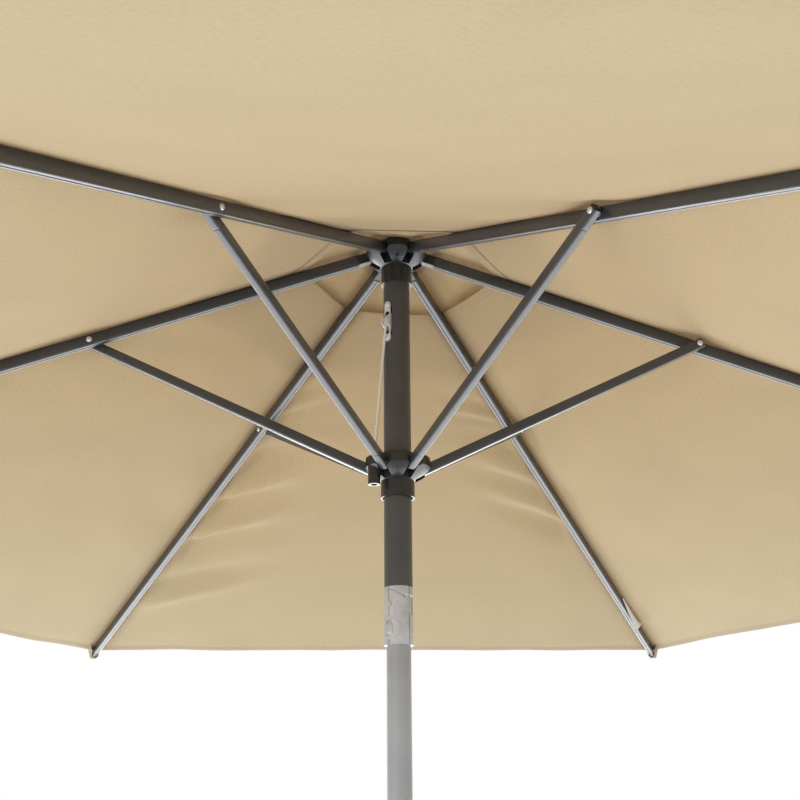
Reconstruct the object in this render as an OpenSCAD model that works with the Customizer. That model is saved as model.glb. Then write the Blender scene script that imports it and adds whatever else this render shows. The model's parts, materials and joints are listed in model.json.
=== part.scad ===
// Patio umbrella with a push-button tilt, a crank lift and a weighted base.
// Natural origin: middle of the base, on the floor. +Z runs up the pole, +X runs along rib 1.

/* [Canopy frame] */
// Height of the rib hinges above the floor
hub_height = 2300; // [2000:10:2500]
// Rib length from its hinge to its tip
rib_length = 1280; // [1000:10:1500]
// Rib slope below horizontal when the canopy is open
rib_slope = 19.2; // [14:0.2:24]
// Distance from the rib hinge to the strut rivet
rivet_distance = 420; // [350:5:480]
// Strut length between its two pivots
strut_length = 439; // [390:1:500]
// Distance of the rib and strut pivots from the pole axis
pivot_radius = 39; // [37:0.5:40]
// Rib section width
rib_width = 12; // [10:0.5:12]
// Rib section height
rib_height = 18; // [14:0.5:18]
// Strut section width
strut_width = 11; // [9:0.5:11]
// Strut section height
strut_height = 14; // [12:0.5:14]
// Sideways offset of the strut at its rivet
strut_offset_top = 13.6; // [13.4:0.1:15]
// Sideways offset of the strut at the runner
strut_offset_bottom = 1.5; // [1:0.1:6]

/* [Canopy cloth] */
// Thickness of the cloth solids
cloth = 1.2; // [0.8:0.1:2]
// How far the canopy's edge is cut back between two ribs
edge_bow = 30; // [0:5:60]
// Distance along the rib from its hinge to the hem of the top vent
vent_distance = 105; // [90:5:200]
// Distance along the rib from its hinge to the edge of the vent cap
cap_distance = 290; // [240:5:340]

/* [Pole] */
// Upper pole outside radius
upper_radius = 19; // [18:0.5:19]
// Lower pole outside radius
lower_radius = 16; // [15:0.5:16]
// Pole wall
pole_wall = 1.5; // [1.2:0.1:2]
// Height of the tilt pin above the floor
tilt_height = 1786; // [1700:1:1800]
// Height of the crank shaft above the floor
crank_height = 900; // [850:5:950]
// Height of the pulley axle above the floor
pulley_height = 2192; // [2180:1:2200]

/* [Base] */
// Radius of the base plate
base_radius = 225; // [200:5:260]
// Thickness of the base plate
base_thick = 12; // [10:1:16]
// Height of the top of the base tube
base_tube_top = 380; // [300:10:420]

/* [Hidden] */
$fn = 48;
eps = 0.01;

fit = 0.05;
pressed = 0.02;
gap = 0.5;
side_gap = 0.4;
slot_width = rib_width + 2 * gap;

// Pivot positions of the open canopy, seen along a rib: r outward, z up.
rivet_r = pivot_radius + rivet_distance * cos(rib_slope);
rivet_z = hub_height - rivet_distance * sin(rib_slope);
strut_drop = sqrt(pow(strut_length, 2) - pow(rivet_distance * cos(rib_slope), 2));
strut_slope = asin(strut_drop / strut_length);
runner_height = rivet_z - strut_drop;

pivot_pin = 2;
rivet_pin = 2.5;
tube_start = 19;
tube_corner = 3;
tube_wall = 1.2;
tip_length = 22;
strut_overhang = 5.5;
cloth_lift = 3.3;
cap_lift = 6.5;
cap_inner = 58;
cap_bow = 12;
patch_radius = 62;

// The lift, crank and tilt parts share one upright plane, turned to this side of the pole.
lift_side = 225;

hub_disc = 46;
hub_core = 24;
lobe_radius = 18.5;
lobe_centre = 30;
dish_radius = 60;
dish_centre = 38;
collar_radius = 22.3;
runner_bore = 20.9;
collar_drop = 45;
runner_collar_drop = 41;
lug_r = 38;
lug_radius = 8.4;
lug_drop = 27;
knot_pocket = 4.4;
// The struts slant a little, so their slots in the runner are wider on one side.
runner_slack = 1;
knot_drop = 20;
lug_bore = 2.6;

cheek_radius = upper_radius;
saddle_radius = cheek_radius + side_gap;
cheek_gap = 7;
tongue_radius = 22;
tilt_pin_radius = 3;
tilt_bottom = tilt_height - 52;
tilt_top = tilt_height + 24;
tilt_spigot = 30;
relief_angle = 56;
back_relief = 18;
button_drop = 31;
button_radius = 5.5;
button_rise = 4;
button_pad = 15;
head_radius = 20.3;
groove_depth = 1.1;
groove_width = 1.6;
cord_side = -5.5;

cord_radius = 1.5;
pulley_x = 13;
pulley_groove = 8.1;
pulley_flange = 10.8;
pulley_half = 3;
bracket_half = 31;
bracket_side = 5.4;
pole_slot = 45;
rivet_place = bracket_half - 4.5;

spool_x = 38;
spool_drum = 10.2;
cord_wrap = 12.01;
spool_flange = 17;
spool_half = 13;
housing_half = 27;
crank_reach = 112;
grip_length = 74;

foot_pad = 4;
plate_top = foot_pad + base_thick;
base_tube_outer = 24;
base_tube_inner = 21;
flange_top = plate_top + 6;
pole_foot_z = plate_top + 0.5;
clamp_height = 300;

// Inner lift cord of the upper pole: over the pulley and down to the tilt pin, as [x, y, z].
cord_upper_route = concat(
    [[23, 0, pulley_height - 4.8]],
    [for (a = [0:18:180]) [pulley_x + 10 * cos(a), 0, pulley_height + 10 * sin(a)]],
    [[3, 0, pulley_height - 10], [2, -1, 2120], [0, -5.5, 1900], [0, -5.5, 1860], [0, -5.5, 1787]]
);

// Lift cord of the lower pole: from the tilt pin to the crank spool, with two turns on the drum.
spool_turns = 2;
cord_lower_route = concat(
    [[0, -5.5, 1785], [0, -5.5, 1700], [2, -4, 1500], [3, 0, 1200], [3, 0, 990], [4, 0, 975]],
    [[8, 0, 956], [15, 0, 936], [22, 0, 917], [25, 0, 908]],
    [for (i = [0:spool_turns * 16])
        [spool_x - cord_wrap * cos(22.5 * i), -8 * i / (spool_turns * 16),
         crank_height - cord_wrap * sin(22.5 * i)]]
);

// ---------------------------------------------------------------- helpers

// Children drawn in the plane of one rib, whose number is 1 to 6, with +X outward.
module on_rib(number) {
    rotate([0, 0, 60 * (number - 1)])
        children();
}

// Children drawn on the side of the pole that carries the pulley, pin, button and crank.
module on_lift_side() {
    rotate([0, 0, lift_side])
        children();
}

// Children drawn along a rib: +X runs from the hinge to the tip, +Z is square to the rib.
module along_rib(number) {
    on_rib(number)
        translate([pivot_radius, 0, hub_height])
            rotate([0, rib_slope, 0])
                children();
}

// Children drawn along a strut: +X runs from its rivet towards the runner.
strut_skew = asin((strut_offset_top - strut_offset_bottom) / strut_length);
module along_strut(number) {
    on_rib(number)
        translate([rivet_r, -strut_offset_top, rivet_z])
            rotate([0, 180 - strut_slope, 0])
                rotate([0, 0, strut_skew])
                    children();
}

module tube(outer, inner, bottom, top) {
    translate([0, 0, bottom])
        difference() {
            cylinder(r = outer, h = top - bottom);
            translate([0, 0, -1])
                cylinder(r = inner, h = top - bottom + 2);
        }
}

// Cylinder along +Y, centred on y = middle.
module cross_cylinder(radius, length, middle = 0) {
    translate([0, middle + length / 2, 0])
        rotate([90, 0, 0])
            cylinder(r = radius, h = length);
}

// Cylinder along +X from one x to another.
module out_cylinder(radius, from, to) {
    translate([from, 0, 0])
        rotate([0, 90, 0])
            cylinder(r = radius, h = to - from);
}

module rounded_rectangle(width, height, corner) {
    square([width, height - 2 * corner], center = true);
    square([width - 2 * corner, height], center = true);
    for (x = [-1, 1], y = [-1, 1])
        translate([x * (width / 2 - corner), y * (height / 2 - corner)])
            circle(r = corner);
}

// Rounded bar along +X, from one x to another.
module bar(width, height, corner, from, to) {
    translate([from, 0, 0])
        rotate([90, 0, 90])
            linear_extrude(to - from)
                rounded_rectangle(width, height, corner);
}

// Rivet or bolt head: a low dome standing on z = 0.
module dome_head(radius, height) {
    ball = (radius * radius + height * height) / (2 * height);
    intersection() {
        translate([0, 0, height - ball])
            sphere(r = ball);
        cylinder(r = radius + 1, h = height + 1);
    }
}

// Round cord or wire of 8 sides along a list of points.
function unit(v) = v / norm(v);
function heading(p, i) =
    i == 0 ? unit(p[1] - p[0]) :
    i == len(p) - 1 ? unit(p[i] - p[i - 1]) :
    unit(unit(p[i + 1] - p[i]) + unit(p[i] - p[i - 1]));
function side_of(t) = unit(cross(t, abs(t.y) > 0.9 ? [0, 0, 1] : [0, 1, 0]));
module swept(points, radius, sides = 8) {
    n = len(points);
    ring = [for (i = [0:n - 1])
        let (t = heading(points, i), u = side_of(t), v = cross(t, u))
        for (k = [0:sides - 1])
            points[i] + radius * (cos(360 * k / sides) * u + sin(360 * k / sides) * v)];
    walls = [for (i = [0:n - 2], k = [0:sides - 1])
        [i * sides + k, i * sides + (k + 1) % sides, (i + 1) * sides + (k + 1) % sides, (i + 1) * sides + k]];
    start = [for (k = [sides - 1:-1:0]) k];
    end = [for (k = [0:sides - 1]) (n - 1) * sides + k];
    polyhedron(ring, concat(walls, [start], [end]), convexity = 6);
}

// ---------------------------------------------------------------- canopy

// Two flat halves of a six-sided canopy, one on each side of a rib; z0 is the height on the rib line at x = 0,
// and bow is how far the outer edge is cut back between two ribs.
module cloth_wing(inner, outer, z0, bow) {
    seam = 0.4;
    function edge_point(r, side) =
        [0.75 * r + seam * sin(30), side * (0.75 * r * tan(30) - seam), 0];
    function height_at(p) = z0 - (p.x + abs(p.y) * tan(30)) * tan(rib_slope);
    outline = [
        [inner, 0, 0], [outer, 0, 0],
        edge_point(outer - bow / cos(30), 1), edge_point(inner, 1),
        edge_point(outer - bow / cos(30), -1), edge_point(inner, -1)
    ];
    top = [for (p = outline) [p.x, p.y, height_at(p) + cloth]];
    bottom = [for (p = outline) [p.x, p.y, height_at(p)]];
    polyhedron(
        concat(top, bottom),
        [[0, 3, 2, 1], [0, 1, 4, 5],
         [6, 7, 8, 9], [6, 11, 10, 7],
         [1, 2, 8, 7], [1, 7, 10, 4],
         [0, 6, 9, 3], [0, 5, 11, 6],
         [2, 3, 9, 8], [4, 10, 11, 5]],
        convexity = 4
    );
}

rib_top = hub_height + pivot_radius * tan(rib_slope) + rib_height / 2 / cos(rib_slope);
module canopy(number) {
    color("BurlyWood")
        on_rib(number) {
            cloth_wing(pivot_radius + vent_distance * cos(rib_slope),
                       pivot_radius + (rib_length + 6) * cos(rib_slope), rib_top + cloth_lift, edge_bow);
            cloth_wing(cap_inner, pivot_radius + cap_distance * cos(rib_slope), rib_top + cap_lift, cap_bow);
        }
}

// Round middle of the vent cap, clamped on top of the hub by the finial.
module cap_patch() {
    z_middle = rib_top + cap_lift + cloth + 0.8;
    drop = tan(rib_slope);
    color("BurlyWood")
        rotate_extrude()
            polygon([
                [9.5, z_middle - 9.5 * drop], [patch_radius, z_middle - patch_radius * drop],
                [patch_radius, z_middle - patch_radius * drop + cloth], [9.5, z_middle - 9.5 * drop + cloth]
            ]);
}

// ---------------------------------------------------------------- ribs

module rib(number) {
    color("DimGray")
        along_rib(number)
            difference() {
                bar(rib_width, rib_height, tube_corner, tube_start, rib_length - tip_length);
                bar(rib_width - 2 * tube_wall, rib_height - 2 * tube_wall, tube_corner - tube_wall,
                    tube_start - 1, rib_length);
                translate([rivet_distance, 0, 0])
                    cross_cylinder(rivet_pin + fit, 40);
            }
}

module rib_ends(number) {
    plug_width = rib_width - 2 * tube_wall - 0.2;
    plug_height = rib_height - 2 * tube_wall - 0.2;
    color("Black")
        along_rib(number) {
            difference() {
                union() {
                    cross_cylinder(7.5, rib_width);
                    translate([0, -rib_width / 2, -7.5])
                        cube([tube_start - 0.1, rib_width, 15]);
                    bar(plug_width, plug_height, tube_corner - tube_wall, tube_start - 0.2, tube_start + 28);
                }
                cross_cylinder(pivot_pin + fit, rib_width + 2);
            }
            bar(plug_width, plug_height, tube_corner - tube_wall,
                rib_length - tip_length - 24, rib_length - tip_length + 0.2);
            bar(rib_width, rib_height, tube_corner, rib_length - tip_length + 0.1, rib_length);
        }
}

// ---------------------------------------------------------------- struts

module strut(number) {
    color("DimGray")
        along_strut(number)
            difference() {
                bar(strut_width, strut_height, 2.5, -strut_overhang, strut_length + strut_overhang);
                bar(strut_width - 2 * tube_wall, strut_height - 2 * tube_wall, 1.3,
                    -strut_overhang - 1, strut_length + strut_overhang + 1);
                rotate([0, 0, -strut_skew])
                    cross_cylinder(rivet_pin + pressed, 40);
                translate([strut_length, 0, 0])
                    cross_cylinder(pivot_pin + pressed, 40);
            }
}

// Plastic plug inside one end of a strut, with a rounded nose past the end of the tube.
module strut_plug(pin) {
    inside_width = strut_width - 2 * tube_wall - 0.2;
    inside_height = strut_height - 2 * tube_wall - 0.2;
    difference() {
        union() {
            bar(inside_width, inside_height, 1.3, -strut_overhang, 24);
            intersection() {
                translate([-strut_overhang + 2, 0, 0])
                    cross_cylinder(inside_height / 2, inside_width);
                translate([-strut_overhang - 1.4, -10, -10])
                    cube([20, 20, 20]);
            }
        }
        cross_cylinder(pin + pressed, 40);
    }
}

module strut_end_pieces(number) {
    color("Black")
        along_strut(number) {
            strut_plug(rivet_pin + 0.1);
            translate([strut_length, 0, 0])
                mirror([1, 0, 0])
                    strut_plug(pivot_pin);
        }
}

module strut_rivet(number) {
    head = 4.2;
    head_height = 2.2;
    near = -strut_offset_top - strut_width / 2 - 0.3;
    far = rib_width / 2 + 0.3;
    color("Silver")
        on_rib(number)
            translate([rivet_r, 0, rivet_z]) {
                cross_cylinder(rivet_pin, far - near, (far + near) / 2);
                translate([0, far - eps, 0])
                    rotate([-90, 0, 0])
                        dome_head(head, head_height);
                translate([0, near + eps, 0])
                    rotate([90, 0, 0])
                        dome_head(head, head_height);
            }
}

module rivet_and_spacer(number) {
    spacer_from = -strut_offset_top + strut_width / 2 + 0.35;
    spacer_to = -rib_width / 2 - 0.35;
    strut_rivet(number);
    color("Silver")
        on_rib(number)
            translate([rivet_r, 0, rivet_z])
                cross_cylinder(5, spacer_to - spacer_from, (spacer_to + spacer_from) / 2);
}

// Short pin of the open pivot: it stays inside the strut, clear of the runner's slot.
module strut_foot_pin(number) {
    color("Silver")
        along_strut(number)
            translate([strut_length, 0, 0])
                cross_cylinder(pivot_pin, strut_width + 0.8);
}

module strut_ends(number) {
    strut_end_pieces(number);
    rivet_and_spacer(number);
    strut_foot_pin(number);
}

// ---------------------------------------------------------------- hub and runner

module lobed_outline(slot_shift, width) {
    difference() {
        intersection() {
            circle(r = hub_disc);
            union() {
                circle(r = hub_core);
                for (k = [0:5])
                    rotate(30 + 60 * k)
                        translate([lobe_centre, 0])
                            circle(r = lobe_radius);
            }
        }
        for (k = [0:5])
            rotate(60 * k)
                translate([hub_core, -width / 2 - slot_shift])
                    square([40, width]);
    }
}

// Six lobes over a dished underside that runs into the collar.
module lobed_body(slot_shift, width) {
    intersection() {
        translate([0, 0, -20])
            linear_extrude(33)
                lobed_outline(slot_shift, width);
        translate([0, 0, dish_centre])
            sphere(r = dish_radius, $fn = 96);
    }
}

module hub() {
    color("Black")
        translate([0, 0, hub_height])
            difference() {
                union() {
                    lobed_body(0, slot_width);
                    translate([0, 0, -collar_drop])
                        cylinder(r = collar_radius, h = collar_drop);
                    cylinder(r = 25, h = 19);
                }
                translate([0, 0, -collar_drop - 1])
                    cylinder(r = upper_radius + 0.1, h = collar_drop + 11);
                translate([0, 0, 5])
                    cylinder(r = 5.1, h = 20);
                for (k = [0:5])
                    rotate([0, 0, 60 * k])
                        translate([pivot_radius, 0, 0])
                            cross_cylinder(pivot_pin + pressed, 26);
                // Blind hole for the screw that locks the hub to the pole.
                translate([0, 0, -11])
                    rotate([0, 0, -90])
                        out_cylinder(1.4, 26, 60);
            }
}

module hub_pins() {
    color("Silver")
        for (k = [0:5])
            rotate([0, 0, 60 * k])
                translate([pivot_radius, 0, hub_height])
                    cross_cylinder(pivot_pin, 25);
}

// Turned knob that clamps the middle of the vent cap onto the hub.
module finial() {
    drop = tan(rib_slope);
    cloth_top = rib_top + cap_lift + 2 * cloth + 0.8 - hub_height;
    flange = 26;
    knob_base = cloth_top + 4;
    knob_height = 46;
    ball = 11;
    color("Black")
        translate([0, 0, hub_height])
            rotate_extrude() {
                square([5, 30]);
                translate([0, 19.2])
                    square([9, 12]);
                polygon([
                    [0, cloth_top - 9 * drop + 0.5], [9, cloth_top - 9 * drop + 0.5],
                    [flange, cloth_top - flange * drop + 0.5], [flange, cloth_top - flange * drop + 3],
                    [17, knob_base], [0, knob_base]
                ]);
                polygon(concat(
                    [[0, knob_base - eps]],
                    [for (i = [0:16])
                        [17 - 9 * i / 16 + 4 * sin(180 * i / 16), knob_base - eps + knob_height * i / 16]],
                    [[0, knob_base + knob_height]]
                ));
                translate([0, knob_base + knob_height + ball - 4])
                    intersection() {
                        circle(r = ball);
                        translate([0, -ball])
                            square([ball, 2 * ball]);
                    }
            }
}

module runner() {
    color("Black")
        translate([0, 0, runner_height])
            difference() {
                union() {
                    lobed_body(strut_offset_bottom + runner_slack / 2, slot_width + runner_slack);
                    translate([0, 0, -runner_collar_drop])
                        cylinder(r = collar_radius + 0.9, h = runner_collar_drop + 22);
                    rotate([0, 0, -150])
                        translate([lug_r, 0, -lug_drop])
                            cylinder(r = lug_radius, h = lug_drop + 5);
                }
                translate([0, 0, -collar_drop - 1])
                    cylinder(r = runner_bore, h = collar_drop + 30);
                rotate([0, 0, -150])
                    translate([lug_r, 0, -lug_drop - 1]) {
                        cylinder(r = lug_bore, h = 60);
                        cylinder(r = knot_pocket, h = 12);
                    }
            }
}

module cord_knot() {
    color("White")
        translate([0, 0, runner_height])
            rotate([0, 0, -150])
                translate([lug_r, 0, -knot_drop]) {
                    sphere(r = 3.6);
                    cylinder(r = cord_radius, h = knot_drop + 13.4);
                }
}

// ---------------------------------------------------------------- pole and tilt joint

module upper_pole() {
    color("DimGray")
        difference() {
            tube(upper_radius, upper_radius - pole_wall, tilt_top, hub_height + 9);
            on_lift_side()
                translate([0, -7, pulley_height - pole_slot / 2])
                    cube([30, 14, pole_slot]);
        }
}

module lower_pole() {
    color("Gray")
        difference() {
            tube(lower_radius, lower_radius - pole_wall, pole_foot_z + 3, tilt_bottom);
            on_lift_side()
                translate([0, -4, crank_height + 24])
                    cube([30, 8, 76]);
        }
}

module pole_foot() {
    color("Black")
        translate([0, 0, pole_foot_z]) {
            cylinder(r = lower_radius, h = 2.9);
            cylinder(r = lower_radius - pole_wall - 0.1, h = 26);
        }
}

// Wedge of the joint that the upper knuckle must leave free so that it can lean towards +Y.
module lean_relief() {
    rotate([90 - relief_angle, 0, 0])
        translate([-40, 0, -80])
            cube([80, 80, 80]);
}

// Shallow grooves down the four sides, where the halves of the mould met.
module parting_grooves() {
    for (side = [0:90:270])
        rotate(side)
            translate([upper_radius - groove_depth, -groove_width / 2, -60])
                cube([groove_depth + 2, groove_width, 120]);
}

// Upright oval along +X, from one x to another.
module oval(radius, from, to) {
    for (z = [-button_rise, button_rise])
        translate([0, 0, z])
            out_cylinder(radius, from, to);
    translate([from, -radius, -button_rise])
        cube([to - from, 2 * radius, 2 * button_rise]);
}

module tilt_upper() {
    color("Silver")
        on_lift_side()
            translate([0, 0, tilt_height])
                difference() {
                    union() {
                        difference() {
                            cylinder(r = upper_radius, h = tilt_top - tilt_height - 0.05);
                            out_cylinder(saddle_radius, -40, 40);
                            lean_relief();
                            mirror([0, 1, 0])
                                rotate([back_relief, 0, 0])
                                    translate([-40, 0, -80])
                                        cube([80, 80, 80]);
                        }
                        intersection() {
                            out_cylinder(tongue_radius, -cheek_gap + side_gap, cheek_gap - side_gap);
                            translate([0, 0, -40])
                                cylinder(r = upper_radius - 0.6, h = 80);
                        }
                        translate([0, 0, tilt_top - tilt_height - 1])
                            cylinder(r = upper_radius - pole_wall - 0.1, h = tilt_spigot);
                    }
                    // Way of the cord below the pin, long enough for the full lean.
                    translate([-2.5, cord_side - 3.5, -40])
                        cube([5, 21, 40]);
                    translate([-2.5, cord_side - 3, -1])
                        cube([5, 4.9, 80]);
                    out_cylinder(tilt_pin_radius + fit, -40, 40);
                    parting_grooves();
                }
}

module tilt_lower() {
    slot_radius = tongue_radius + 0.6;
    color("Silver")
        on_lift_side()
            translate([0, 0, tilt_height])
                difference() {
                    union() {
                        difference() {
                            union() {
                                translate([0, 0, tilt_bottom - tilt_height])
                                    cylinder(r = upper_radius, h = tilt_height - tilt_bottom);
                                intersection() {
                                    out_cylinder(cheek_radius, -40, 40);
                                    cylinder(r = upper_radius, h = 40);
                                }
                            }
                            parting_grooves();
                        }
                        translate([0, 0, tilt_bottom - tilt_height - tilt_spigot])
                            cylinder(r = lower_radius - pole_wall - 0.1, h = tilt_spigot + 1);
                        // Low round pad around the button.
                        intersection() {
                            translate([0, 0, -button_drop])
                                out_cylinder(button_pad, 10, 30);
                            translate([0, 0, -60])
                                cylinder(r = upper_radius + 0.5, h = 60);
                        }
                    }
                    // Slot of the tongue.
                    translate([-cheek_gap, -40, 0])
                        cube([2 * cheek_gap, 80, 40]);
                    out_cylinder(slot_radius, -cheek_gap, cheek_gap);
                    out_cylinder(tilt_pin_radius + pressed, -40, 40);
                    // Way of the cord.
                    translate([-2.5, cord_side - 2.5, -100])
                        cube([5, 5, 100]);
                    // Counterbore and guide hole of the button.
                    translate([0, 0, -button_drop]) {
                        oval(button_radius + 0.3, 8, 30);
                        out_cylinder(3.3, -1, 9);
                    }
                }
}

module tilt_pin() {
    color("Silver")
        on_lift_side()
            translate([0, 0, tilt_height])
                intersection() {
                    union() {
                        out_cylinder(tilt_pin_radius, -19.6, 19.6);
                        out_cylinder(4.2, 19.02, head_radius);
                        out_cylinder(4.2, -head_radius, -19.02);
                    }
                    translate([0, 0, -20])
                        cylinder(r = head_radius, h = 40);
                }
}

module tilt_button() {
    color("Silver")
        on_lift_side()
            translate([0, 0, tilt_height - button_drop])
                intersection() {
                    union() {
                        oval(button_radius, 14, 20);
                        out_cylinder(3, 3.2, 14.1);
                    }
                    translate([0, 0, -20])
                        cylinder(r = 20, h = 40);
                    translate([-3.6, 0, 0])
                        sphere(r = 24, $fn = 96);
                }
}

module button_spring() {
    coil = 4.3;
    turns = 3;
    color("Silver")
        on_lift_side()
            translate([8.6, 0, tilt_height - button_drop])
                swept([for (i = [0:turns * 12])
                    [i * 4.8 / (turns * 12), coil * cos(30 * i), coil * sin(30 * i)]], 0.4, 8);
}

// ---------------------------------------------------------------- lift

// Strip with round ends over the pole's slot, and two cheeks for the axle.
module bracket_plate() {
    reach = pulley_flange + 2;
    color("Silver")
        on_lift_side()
            translate([0, 0, pulley_height])
                difference() {
                    union() {
                        intersection() {
                            tube(upper_radius + 1.7, upper_radius + 0.05, -bracket_half, bracket_half);
                            bar(2 * bracket_side, 2 * bracket_half, bracket_side - 0.1, 10, 30);
                        }
                        for (side = [-1, 1])
                            translate([pulley_x, 0, 0])
                                intersection() {
                                    cross_cylinder(reach, 1.6, side * 4.6);
                                    translate([-9, -10, -20])
                                        cube([40, 20, 40]);
                                }
                    }
                    translate([0, -3.8, -20])
                        cube([40, 7.6, 35]);
                }
}

module bracket_rivets() {
    color("Silver")
        on_lift_side()
            for (z = [-rivet_place, rivet_place])
                translate([upper_radius + 1.4, 0, pulley_height + z])
                    rotate([0, 90, 0])
                        dome_head(3.4, 1.8);
}

module pulley_wheel() {
    color("White")
        on_lift_side()
            translate([pulley_x, 0, pulley_height])
                rotate([90, 0, 0])
                    difference() {
                        rotate_extrude()
                            polygon([
                                [0, -pulley_half], [pulley_flange, -pulley_half],
                                [pulley_flange, -pulley_half + 0.8], [pulley_groove, -1.9],
                                [pulley_groove, 1.9], [pulley_flange, pulley_half - 0.8],
                                [pulley_flange, pulley_half], [0, pulley_half]
                            ]);
                        cylinder(r = 2.5 + fit, h = 20, center = true);
                    }
}

module pulley_axle() {
    color("Silver")
        on_lift_side()
            translate([pulley_x, 0, pulley_height])
                cross_cylinder(2.5, 10.8);
}

module pulley_bracket() {
    bracket_plate();
    bracket_rivets();
    pulley_axle();
}

// Straight outer run of the lift cord, from the pulley down to the runner's lug.
module cord_outer() {
    drop = pulley_height - 5 - runner_height - 14;
    reach_x = lug_r * cos(15) - 23;
    reach_y = -lug_r * sin(15);
    color("White")
        on_lift_side()
            swept([for (i = [0:8])
                [23 + reach_x * i / 8, reach_y * i / 8, pulley_height - 5 - drop * i / 8]], cord_radius);
}

module cord_upper() {
    color("White")
        on_lift_side()
            swept(cord_upper_route, cord_radius);
}

module cord_lower() {
    color("White")
        on_lift_side()
            swept(cord_lower_route, cord_radius);
}

// ---------------------------------------------------------------- crank

module crank_housing() {
    color("Black")
        on_lift_side()
            difference() {
                union() {
                    translate([-lower_radius - 8, -housing_half, crank_height - 36])
                        cube([spool_x + lower_radius + 8, 2 * housing_half, 112]);
                    translate([spool_x, 0, crank_height])
                        cross_cylinder(30, 2 * housing_half);
                    translate([0, 0, crank_height - 56])
                        cylinder(r = lower_radius + 8, h = 148);
                }
                translate([0, 0, crank_height - 80])
                    cylinder(r = lower_radius + 0.1, h = 200);
                translate([spool_x, 0, crank_height])
                    cross_cylinder(23, 2 * (spool_half + 3));
                translate([10, -5, crank_height])
                    cube([18, 10, 60]);
                translate([spool_x, 0, crank_height])
                    cross_cylinder(6 + fit, 54, 3);
            }
}

module housing_screws() {
    color("Silver")
        on_lift_side()
            for (place = [[-16, -28], [-16, 68], [28, 60], [30, -27]])
                translate([place.x, -housing_half - 0.05, crank_height + place.y])
                    rotate([90, 0, 0])
                        dome_head(3.6, 1.8);
}

module crank_spool() {
    color("Silver")
        on_lift_side()
            translate([spool_x, 0, crank_height]) {
                cross_cylinder(6, 64, 9);
                cross_cylinder(spool_drum, 2 * spool_half);
                for (side = [-1, 1])
                    cross_cylinder(spool_flange, 2, side * (spool_half - 1));
            }
}

module arm_bar() {
    arm_y = housing_half + 9;
    color("Black")
        on_lift_side()
            translate([spool_x, 0, crank_height])
                difference() {
                    union() {
                        cross_cylinder(14, 14, arm_y + 1);
                        translate([-9, arm_y - 5, -crank_reach])
                            cube([18, 10, crank_reach]);
                        translate([0, 0, -crank_reach])
                            cross_cylinder(11, 10, arm_y);
                    }
                    cross_cylinder(6 + pressed, 200);
                    translate([0, 0, -crank_reach])
                        cross_cylinder(4 + pressed, 200);
                }
}

module grip_pin() {
    color("Silver")
        on_lift_side()
            translate([spool_x, 0, crank_height - crank_reach]) {
                cross_cylinder(4, grip_length + 16, housing_half + 4 + (grip_length + 16) / 2);
                translate([0, housing_half + 4 + grip_length + 16 - eps, 0])
                    rotate([-90, 0, 0])
                        dome_head(6.5, 2.6);
            }
}

module crank_arm() {
    arm_bar();
    grip_pin();
}

module crank_grip() {
    start = housing_half + 15;
    color("Black")
        on_lift_side()
            translate([spool_x, start + grip_length, crank_height - crank_reach])
                rotate([90, 0, 0])
                    rotate_extrude()
                        polygon(concat(
                            [[4.08, 0]],
                            [for (i = [0:12]) [11.5 + 2.6 * sin(180 * i / 12), grip_length * i / 12]],
                            [[4.08, grip_length]]
                        ));
}

// ---------------------------------------------------------------- base

module base_plate() {
    bevel = 4;
    color("DimGray")
        translate([0, 0, foot_pad])
            rotate_extrude()
                polygon([
                    [0, 0], [base_radius - 1, 0], [base_radius, 1],
                    [base_radius, base_thick - bevel], [base_radius - bevel, base_thick], [0, base_thick]
                ]);
}

module base_feet() {
    color("Black")
        for (k = [0:5])
            rotate([0, 0, 30 + 60 * k])
                translate([base_radius - 28, 0, 0])
                    cylinder(r = 16, h = foot_pad);
}

module base_tube() {
    color("DimGray")
        difference() {
            union() {
                tube(base_tube_outer, base_tube_inner, plate_top, base_tube_top - 8);
                tube(64, base_tube_outer - 0.5, plate_top, flange_top);
                translate([0, 0, clamp_height])
                    rotate([0, 0, 180])
                        out_cylinder(10, base_tube_inner + 1, 34);
            }
            translate([0, 0, clamp_height])
                rotate([0, 0, 180])
                    out_cylinder(5.1, 0, 60);
        }
}

module base_bolts() {
    color("Silver")
        for (k = [0:3])
            rotate([0, 0, 45 + 90 * k])
                translate([46, 0, flange_top]) {
                    cylinder(r = 10, h = 1.6);
                    translate([0, 0, 1.5])
                        cylinder(r = 8.6, h = 6.4, $fn = 6);
                }
}

module bush_flange() {
    color("Black")
        rotate_extrude()
            polygon([
                [lower_radius + 0.3, base_tube_top - 7.9], [base_tube_outer + 3, base_tube_top - 7.9],
                [base_tube_outer + 3, base_tube_top], [base_tube_outer - 2, base_tube_top + 8],
                [lower_radius + 0.3, base_tube_top + 8]
            ]);
}

module bush_sleeve() {
    color("Black")
        difference() {
            tube(base_tube_inner - 0.1, lower_radius + 0.3, flange_top, base_tube_top - 7.6);
            translate([0, 0, clamp_height])
                rotate([0, 0, 180])
                    out_cylinder(5.5, 0, 60);
        }
}

module base_bush() {
    bush_sleeve();
    bush_flange();
}

module knob_head() {
    color("Black")
        translate([0, 0, clamp_height])
            rotate([0, 0, 180]) {
                out_cylinder(11, 35, 44);
                translate([42, 0, 0])
                    rotate([0, 90, 0]) {
                        cylinder(r = 17, h = 16);
                        for (k = [0:5])
                            rotate([0, 0, 60 * k])
                                translate([16, 0, 0])
                                    cylinder(r = 7, h = 16);
                    }
            }
}

module clamp_screw() {
    color("Silver")
        translate([0, 0, clamp_height])
            rotate([0, 0, 180])
                out_cylinder(5, lower_radius + 0.4, 35.05);
}

module clamp_knob() {
    knob_head();
    clamp_screw();
}

// ---------------------------------------------------------------- nodes

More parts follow.
